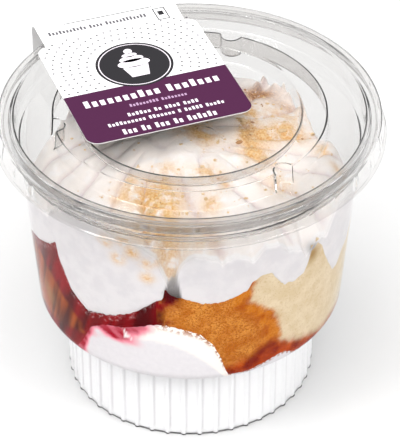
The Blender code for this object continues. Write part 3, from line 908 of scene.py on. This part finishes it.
def dollop_edge(angle):
    """Top of the foot's icing on the wall, ragged where it swells up."""
    wobble = 0.35 * waver(angle, 0.9, (0.0, 2.2)) + 0.25 * waver(angle, 2.6, (5.0, 0.0))
    edge = between(DOLLOP_EDGE, angle)
    return max(26.1, edge + wobble * ease(edge, 26.5, 30.0))


# Small marks on the foot's icing, as corners at (angle, height).
DRIP = ((-78.0, 23.4), (-75.5, 24.4), (-71.0, 24.9), (-70.0, 25.6), (-75.0, 25.7), (-77.5, 24.9))
FLECK = ((-114.6, 42.2), (-113.6, 39.8), (-114.4, 38.6), (-112.0, 39.0), (-110.6, 38.2), (-112.2, 40.2))


def make_foot_icing():
    """Icing that fills the ribbed foot, lies on the shoulder and swells up the wall."""
    depth = DEPTH["foot"]
    skin = 0.16
    foot = [(FOOT_RADIUS - 1.2 - skin, skin), (FOOT_RADIUS - 0.35 - skin, skin + 0.35)]
    foot += [(FOOT_RADIUS - skin, z) for z in (1.3, 3.0, 8.0, 14.0, 20.0, 23.0, 24.0)]
    shelf = FOOT_HEIGHT + depth
    foot += [(FOOT_RADIUS - skin - 0.1, FOOT_HEIGHT - 0.3), (FOOT_RADIUS + 0.4, shelf - 0.05)]
    foot += [(FOOT_RADIUS + 1.2, shelf), (36.5, shelf)]
    wall_rows, roof_rows = 24, 10
    first_wall = len(foot) + 1
    edges = {}

    def place(angle, row):
        if row == 0:
            return 0.0, skin
        if row < first_wall:
            r, z = foot[row - 1]
            return r + rib_rise(angle, z), z
        if angle not in edges:
            edges[angle] = dollop_edge(angle)
        top = edges[angle]
        if row <= first_wall + wall_rows:
            share = (row - first_wall) / wall_rows
            z = shelf + (top - shelf) * share**1.5
            return skin_radius(z, depth), z
        share = (row - first_wall - wall_rows) / roof_rows
        return skin_radius(top, depth) * (1.0 - share), top + (31.0 - top) * ease(share, 0.0, 0.8)

    icing = bent_grid(12 * RIBS, first_wall + wall_rows + roof_rows, place)

    def blush(x, y, z):
        angle = angle_at(x, y)
        below = dollop_edge(angle) - z
        sector = ease(angle, -141.0, -137.0) * (1.0 - ease(angle, -109.0, -98.0))
        edge = 0.8 * (1.0 - ease(below + 0.8 * grain(x, y, z, 2.0), 0.4, 5.4))
        streak = 0.9 * spot(angle + 1.6 * (z - 38.0), z, -116.5, 38.6, 7.5, 1.9)
        pale_spot = 1.0 - 0.95 * spot(angle, z, -125.0, 37.4, 2.8, 1.7)
        side = 0.95 * (1.0 - ease(angle, -136.0, -129.0)) * ease(angle, -150.0, -142.0)
        side *= ease(z, 25.0, 27.0)
        return min(1.0, (sector * (edge + streak) + side) * pale_spot)

    def fresh(x, y, z):
        angle = angle_at(x, y)
        inner = 39.6 - 0.020 * (angle + 103.0) ** 2 * (1.0 if angle > -103.0 else 0.25)
        sector = ease(angle, -118.0, -108.0) * (1.0 - ease(angle, -76.0, -73.0))
        return sector * ease(z - inner, -0.4, 0.8)

    def crumbs(x, y, z):
        angle = angle_at(x, y)
        below = dollop_edge(angle) - z
        front = ease(angle, -104.0, -98.0) * (1.0 - ease(angle, -79.0, -76.0))
        right = ease(angle, -78.0, -74.0) * (1.0 - ease(angle, 30.0, 40.0))
        return max(front * (1.0 - ease(below, 0.3, 2.2)), 0.9 * right * (1.0 - ease(below, 0.0, 1.1)))

    # Painted shade beside each rib of the foot and a painted shadow band under the shoulder.
    def groove(x, y, z):
        off = off_nearest(angle_at(x, y), RIBS, FIRST_RIB) * math.radians(FOOT_RADIUS)
        beside = math.exp(-(((off - 0.75) / 0.28) ** 2)) * (0.7 + 0.3 * grain(x, y, z, 6.0))
        beside *= ease(z, 1.0, 3.0) * (1.0 - ease(z, 21.5, 24.5))
        under_shoulder = 0.55 * ease(z, 21.6, 24.4) * (1.0 - ease(z, 25.2, 25.8))
        return min(1.0, 0.6 * beside + under_shoulder)

    def fleck(x, y, z):
        return inside(FLECK, angle_at(x, y), z, 0.25) if y < 0.0 else 0.0

    def drip(x, y, z):
        return inside(DRIP, angle_at(x, y), z, 0.3) if y < 0.0 else 0.0

    def shoulder(x, y, z):
        return ease(z, 25.4, 26.4)

    paint(icing, blush=blush, fresh=fresh, crumbs=crumbs, groove=groove, fleck=fleck, drip=drip)
    paint(icing, shoulder=shoulder, across=across_wall, up=up_wall)
    settle(icing, "foot_icing_fill", foot_icing_material(), 60.0)
    show(icing, "foot_icing", "foot_icing")


DRAWN_IN = 5.0  # how far a layer stops short of the wall where another one covers it


def make_band(depth, overlap, reach_at):
    """A layer on the wall, from the shoulder to overlap mm past the icing's edge.

    reach_at(angle) is how far it stops short of the wall.
    """
    floor_rows, rows, roof_rows = 4, 40, 5
    low = FOOT_HEIGHT + depth
    edges = {}

    def place(angle, row):
        if angle not in edges:
            edges[angle] = (icing_edge(angle) + overlap, reach_at(angle))
        high, reach = edges[angle]
        if row <= floor_rows:
            share = row / floor_rows
            return share * (skin_radius(low, depth) - reach), 33.0 + (low - 33.0) * share**2
        if row <= floor_rows + rows:
            share = (row - floor_rows) / rows
            z = low + (high - low) * share
            return skin_radius(z, depth) - reach, z
        share = (row - floor_rows - rows) / roof_rows
        return (skin_radius(high, depth) - reach) * (1.0 - share), high + (54.0 - high) * share

    return bent_grid(COLUMNS, floor_rows + rows + roof_rows, place)


def make_cake():
    def drawn_in(angle):
        from_left = apart(angle, -109.0)
        if from_left < -90.0:
            return DRAWN_IN * ease(from_left, -98.0, -88.0)
        if from_left < 20.0:
            ragged = 2.0 * waver(angle, 0.7, (1.0, 0.0))
            return DRAWN_IN * (1.0 - ease(apart(angle, -104.0) + ragged, 0.0, 2.0))
        return 0.0

    cake = make_band(DEPTH["cake"], 1.6, drawn_in)

    def pale_turn(x, y, z):
        """Degrees right of the line where the golden skin ends."""
        edge = between(PALE_EDGE, z, turns=False)
        edge += 2.2 * grain(x, y, z, 3.0, 2.0) + 1.2 * grain(x, y, z, 1.2)
        return apart(angle_at(x, y), edge)

    def pale(x, y, z):
        turn = pale_turn(x, y, z)
        back = 1.0 - ease(apart(angle_at(x, y), 70.0) + 6.0 * grain(x, y, z, 5.0), -4.0, 4.0)
        return ease(turn, -1.2, 2.4) * back if -90.0 < turn < 150.0 else 0.0

    def rust(x, y, z):
        turn = pale_turn(x, y, z)
        return math.exp(-(((turn + 3.5) / 4.0) ** 2)) * (0.75 + 0.25 * grain(x, y, z, 2.0))

    def soak(x, y, z):
        edge = between(SOAK_EDGE, angle_at(x, y))
        edge += 0.9 * grain(x, y, z, 2.5, 6.0) + 0.5 * grain(x, y, z, 1.0)
        return 1.0 - ease(z, edge - 2.4, edge + 2.6)

    def jam(x, y, z):
        angle = angle_at(x, y)
        if angle > -60.0 or angle < -140.0:
            return 0.0
        ragged = angle + 4.0 * grain(x, y, z, 2.0) + 2.0 * grain(x, y, z, 0.9)
        under_hollow = spot(angle, z, -96.4, 56.0, 3.2, 3.2) * (1.0 + 0.4 * grain(x, y, z, 1.0))
        return min(1.0, 1.0 - ease(ragged, -102.5, -95.0) + 1.3 * under_hollow)

    # Painted shadow in the hollow at the top of the cake, under the icing's lobes.
    def hollow(x, y, z):
        return spot(angle_at(x, y), z, -43.5, 59.6, 3.2, 2.6)

    paint(cake, pale=pale, rust=rust, soak=soak, jam=jam, hollow=hollow)
    settle(cake, "sponge_cake_layer", sponge(), 60.0)
    show(cake, "cake", "cake")


# Syrup-soaked cake seen through the filling: corners along the wall from -160 degrees, and up it.
SOAKED_CAKE = (
    (-14.0, 29.0), (-14.0, 44.0), (-8.0, 50.0), (1.0, 50.5), (8.0, 46.5), (13.5, 41.5), (18.6, 37.2),
    (19.4, 33.8), (12.0, 31.8), (6.0, 29.8), (-1.0, 30.6), (-6.0, 29.0),
)


def make_gel():
    def drawn_in(angle):
        turn = apart(angle, -150.0)
        return DRAWN_IN * (1.0 - ease(turn, -56.0, -48.0) * (1.0 - ease(turn, 49.0, 53.0)))

    gel = make_band(DEPTH["gel"], 1.2, drawn_in)

    def along_wall(x, y):
        return math.radians(apart(angle_at(x, y), -160.0)) * WALL_FOOT_RADIUS

    def soaked_cake(x, y, z):
        return inside(SOAKED_CAKE, along_wall(x, y) + 1.2 * grain(x, y, z, 2.5, 3.0), z, 1.2)

    def beige(x, y, z):
        return 0.7 * spot(along_wall(x, y), z, 5.0, 38.0, 3.2, 3.6)

    def haze(x, y, z):
        angle = angle_at(x, y)
        edge = icing_edge(angle)
        return 0.55 * ease(z, edge - 9.0, edge) * (1.0 - ease(angle, -146.0, -138.0))

    def frost(x, y, z):
        angle = angle_at(x, y)
        if angle > 0.0:
            return 0.0
        edge = icing_edge(angle)
        top = ease(z, edge - 2.4, edge - 0.2) * (1.0 - ease(angle, -144.0, -140.0))
        return min(1.0, top + 0.7 * ease(z, edge - 1.2, edge - 0.1))

    paint(gel, soaked_cake=soaked_cake, beige=beige, haze=haze, frost=frost, across=across_wall, up=up_wall)
    settle(gel, "strawberry_gel_band", strawberry_gel(), 60.0)
    show(gel, "strawberry_filling", "strawberry_filling")


# ---------------------------------------------------------------- label
LABEL_TURN = math.radians(20.3)
LABEL_SHEET = 0.25
LABEL_TOP = LID_TOP + 0.3 + LABEL_SHEET
LABEL_SIDES = (-29.5, 15.1)
LABEL_FRONT, LABEL_SHOULDER = -7.4, 38.1
TAIL_SIDES = (-26.7, 12.7)
FOLD_START, FOLD_RADIUS, FOLD_DROP = 48.0, 3.2, 9.0
PURPLE_END = 14.3
BADGE = (-7.2, 22.6)
BADGE_RADIUS = 10.3
BADGE_SQUASH = 0.98
INK = 0.02
CORNER = 3.2


def lay_on_label(piece):
    """Turn and lift a flat piece drawn in the label's own millimetres on to the lid."""
    turn = Matrix.Rotation(LABEL_TURN, 4, "Z")
    for vertex in piece.data.vertices:
        vertex.co = turn @ Vector((vertex.co.x, vertex.co.y, vertex.co.z + LABEL_TOP)) * UNIT


def quarter_turn(steps):
    """Sine and 1 - cosine along a quarter of a circle."""
    turns = [math.pi / 2 * step / steps for step in range(steps + 1)]
    return [(math.sin(turn), 1.0 - math.cos(turn)) for turn in turns]


def make_label():
    """The card, row by row from its front edge. A row is (inset, how far along, height, sides)."""
    shoulder = TAIL_SIDES[0] - LABEL_SIDES[0]
    rows = [
        (CORNER * (1.0 - rise), LABEL_FRONT + CORNER * fall, 0.0, LABEL_SIDES)
        for rise, fall in quarter_turn(8)
    ]
    rows.append((0.0, PURPLE_END, 0.0, LABEL_SIDES))
    rows += [
        (shoulder * fall, LABEL_SHOULDER - shoulder * (1.0 - rise), 0.0, LABEL_SIDES)
        for rise, fall in quarter_turn(6)
    ]
    rows += [
        (0.0, FOLD_START + FOLD_RADIUS * rise, -FOLD_RADIUS * fall, TAIL_SIDES)
        for rise, fall in quarter_turn(9)
    ]
    rows.append((0.0, FOLD_START + FOLD_RADIUS, -FOLD_RADIUS - FOLD_DROP, TAIL_SIDES))
    deselect_all()
    bpy.ops.mesh.primitive_grid_add(x_subdivisions=2, y_subdivisions=len(rows) - 1, size=2)
    label = bpy.context.object
    for vertex in label.data.vertices:
        inset, v, z, sides = rows[round((vertex.co.y + 1) / 2 * (len(rows) - 1))]
        share = (vertex.co.x + 1) / 2
        u = sides[0] + inset + (sides[1] - sides[0] - 2 * inset) * share
        vertex.co = (u, v, z)
    sheet = label.modifiers.new("card", "SOLIDIFY")
    sheet.thickness = LABEL_SHEET
    sheet.offset = -1.0
    apply_modifiers(label)
    lay_on_label(label)
    settle(label, "label_card", plain("coated_card", "#E2E2E2", 0.5, 0.6, 0.03), 30.0)
    label.data.materials.append(plain("purple_ink", "#400E36", 0.5, 0.9, 0.12))
    for face in label.data.polygons:
        along = (face.center.y * math.cos(LABEL_TURN) - face.center.x * math.sin(LABEL_TURN)) / UNIT
        if face.normal.z > 0.5 and along < PURPLE_END:
            face.material_index = 1
    show(label, "label_card", "label")


def flat_box(u, v, wide, tall):
    """A thin printed block on the label, centred at (u, v)."""
    deselect_all()
    bpy.ops.mesh.primitive_cube_add(size=1.0)
    block = bpy.context.object
    for vertex in block.data.vertices:
        vertex.co = (u + vertex.co.x * wide, v + vertex.co.y * tall, INK * (vertex.co.z + 0.5))
    return block


def flat_disc(u, v, radius, sides=96, lift=0.0, squash=1.0):
    deselect_all()
    bpy.ops.mesh.primitive_cylinder_add(vertices=sides, radius=radius, depth=INK)
    disc = bpy.context.object
    for vertex in disc.data.vertices:
        x, y, z = vertex.co
        vertex.co = (u + x, v + y * squash, lift + z + INK / 2)
    return disc


def join(pieces):
    deselect_all()
    for piece in pieces:
        piece.select_set(True)
    bpy.context.view_layer.objects.active = pieces[0]
    bpy.ops.object.join()
    return bpy.context.object


def finish_print(pieces, name, material):
    printed = join(pieces)
    lay_on_label(printed)
    settle(printed, name, material, 30.0)
    show(printed, "label_card")


WORD_GAP = 0.7  # in letters


def word_blocks(words, start, end, v, tall, rng):
    """A line of print as small upright blocks, one to a letter's place and none of them a letter."""
    letters = sum(words) + WORD_GAP * (len(words) - 1)
    pitch = (end - start) / letters
    blocks = []
    u = start
    for word in words:
        for place in range(word):
            high = tall * (1.0 if place == 0 or rng.random() < 0.22 else 0.74)
            blocks.append(flat_box(u + pitch / 2, v - tall / 2 + high / 2, pitch * 0.62, high))
            u += pitch
        u += WORD_GAP * pitch
    return blocks


def dot_rings():
    """Rings of small dots round the badge, where they fall on the white of the card."""
    dots = []
    ring = BADGE_RADIUS + 2.2
    while ring < 26.5:
        count = round(math.tau * ring / 2.05)
        for step in range(count):
            turn = math.tau * (step + 0.5 * (round(ring / 2.4) % 2)) / count
            u = BADGE[0] + ring * math.cos(turn)
            v = BADGE[1] + ring * math.sin(turn)
            if LABEL_SIDES[0] + 0.9 < u < LABEL_SIDES[1] - 0.9 and PURPLE_END + 0.9 < v < 39.6:
                dots.append(flat_disc(u, v, 0.33, sides=8))
        ring += 2.25
    return dots


def make_print():
    rng = random.Random(5)
    white = plain("white_ink", "#DDD6DD", 0.4, 0.5, 0.04)
    title = word_blocks((10, 7), -25.8, 11.6, 9.5, 3.0, rng)
    small = word_blocks((6, 2, 4, 4), -16.4, 3.0, 1.7, 1.4, rng)
    small += word_blocks((10, 7, 1, 5, 5), -22.6, 9.0, -1.1, 1.4, rng)
    amount = word_blocks((3, 2, 3, 2, 6), -20.0, 5.6, -4.9, 2.2, rng)
    finish_print(title + small + amount, "label_white_lines", white)
    faint = word_blocks((9, 8), -14.6, 1.2, 5.4, 1.2, rng)
    finish_print(faint, "label_faint_line", plain("faint_ink", "#A98AA8", 0.45, 0.5, 0.05))
    dark = plain("black_ink", "#1D1B1F", 0.35, 0.6, 0.1)
    grey = plain("grey_ink", "#58555A", 0.45, 0.5, 0.06)
    finish_print(word_blocks((11, 4, 12), -24.4, 3.4, 43.6, 1.7, rng), "label_tail_line", grey)
    rules = [flat_box(-6.4, 46.9, 25.0, 0.28)]
    rules += [flat_box(7.4, v, 3.4, 0.3) for v in (40.2, 45.6)]
    rules += [flat_box(u, 42.9, 0.3, 5.1) for u in (5.85, 8.95)]
    rules.append(flat_box(7.4, 43.2, 1.5, 1.9))
    finish_print(rules, "label_rules", dark)
    finish_print(dot_rings(), "label_dots", grey)
    badge = flat_disc(*BADGE, BADGE_RADIUS, squash=BADGE_SQUASH)
    finish_print([badge], "label_badge", dark)
    make_badge_icon(white)


def make_badge_icon(white):
    """A cup under a swirl of icing inside a thin ring, on the dark badge."""
    u, v = BADGE
    deselect_all()
    bpy.ops.mesh.primitive_torus_add(
        major_segments=96, minor_segments=6, major_radius=BADGE_RADIUS - 0.85, minor_radius=0.14
    )
    ring = bpy.context.object
    for vertex in ring.data.vertices:
        x, y, z = vertex.co
        vertex.co = (u + x, v + y * BADGE_SQUASH, 1.5 * INK + z * 0.12)
    cup = flat_box(u, v - 3.2, 7.0, 4.6)
    for vertex in cup.data.vertices:
        vertex.co.z += INK
        if vertex.co.y < v - 3.2:
            vertex.co.x = u + (vertex.co.x - u) * 0.68
    turns = ((0.6, 4.4), (2.6, 3.3), (4.4, 2.1))
    swirl = [flat_disc(u, v + rise, half, lift=INK, squash=0.42) for rise, half in turns]
    berry = flat_disc(u + 0.2, v + 6.2, 1.15, lift=INK)
    finish_print([ring, cup, berry, *swirl], "label_badge_icon", white)


# ---------------------------------------------------------------- crumbs
CRUMBS = 520


def make_crumbs():
    """Loose cake crumbs scattered over the icing, most of them where it is stained."""
    rng = random.Random(11)
    deselect_all()
    bpy.ops.mesh.primitive_ico_sphere_add(subdivisions=1, radius=1.0)
    seed = bpy.context.object
    golden, brown = [], []
    weights = [stain[2] * stain[3] * stain[4] for stain in STAINS]
    while len(golden) + len(brown) < CRUMBS:
        if rng.random() < 0.85:
            middle_x, middle_y, reach_x, reach_y = rng.choices(STAINS, weights)[0][:4]
            x = rng.gauss(middle_x, 0.7 * reach_x)
            y = rng.gauss(middle_y, 0.7 * reach_y)
        else:
            x = rng.uniform(-34.0, 38.0)
            y = rng.uniform(-38.0, 12.0)
        radius = math.hypot(x, y)
        if radius > 40.0:
            continue
        z = min(mound_height(x, y), lid_underside(radius) - 0.4)
        size = min(0.85, 0.16 + rng.expovariate(6.5))
        bit = bpy.data.objects.new("bit", seed.data.copy())
        bpy.context.scene.collection.objects.link(bit)
        turn = Matrix.Rotation(rng.uniform(0, math.tau), 3, (rng.random(), rng.random(), 0.3))
        stretch = Vector((rng.uniform(0.7, 1.3), rng.uniform(0.6, 1.1), rng.uniform(0.35, 0.7)))
        for vertex in bit.data.vertices:
            knock = 1.0 + rng.uniform(-0.35, 0.35)
            bent = turn @ Vector(vertex.co)
            vertex.co = Vector((x, y, z)) * UNIT + bent * stretch * size * knock * UNIT
        brownish = rng.random() < (0.3 if math.hypot(x - 18.0, y - 14.0) < 6.0 else 0.05)
        (brown if brownish else golden).append(bit)
    bpy.data.objects.remove(seed, do_unlink=True)
    kinds = ((golden, "golden_crumbs", "#F0CFA0"), (brown, "brown_crumbs", "#C08A55"))
    for bits, name, colour in kinds:
        piece = join(bits)
        settle(piece, name, plain(name, colour, 0.8, 0.6, 0.2), 30.0)
        show(piece, "cake")


def main():
    make_camera()
    make_studio()
    make_floor()
    make_cup()
    make_lid()
    make_foot_icing()
    make_cake()
    make_gel()
    make_piped_icing()
    make_crumbs()
    make_label()
    make_print()


main()
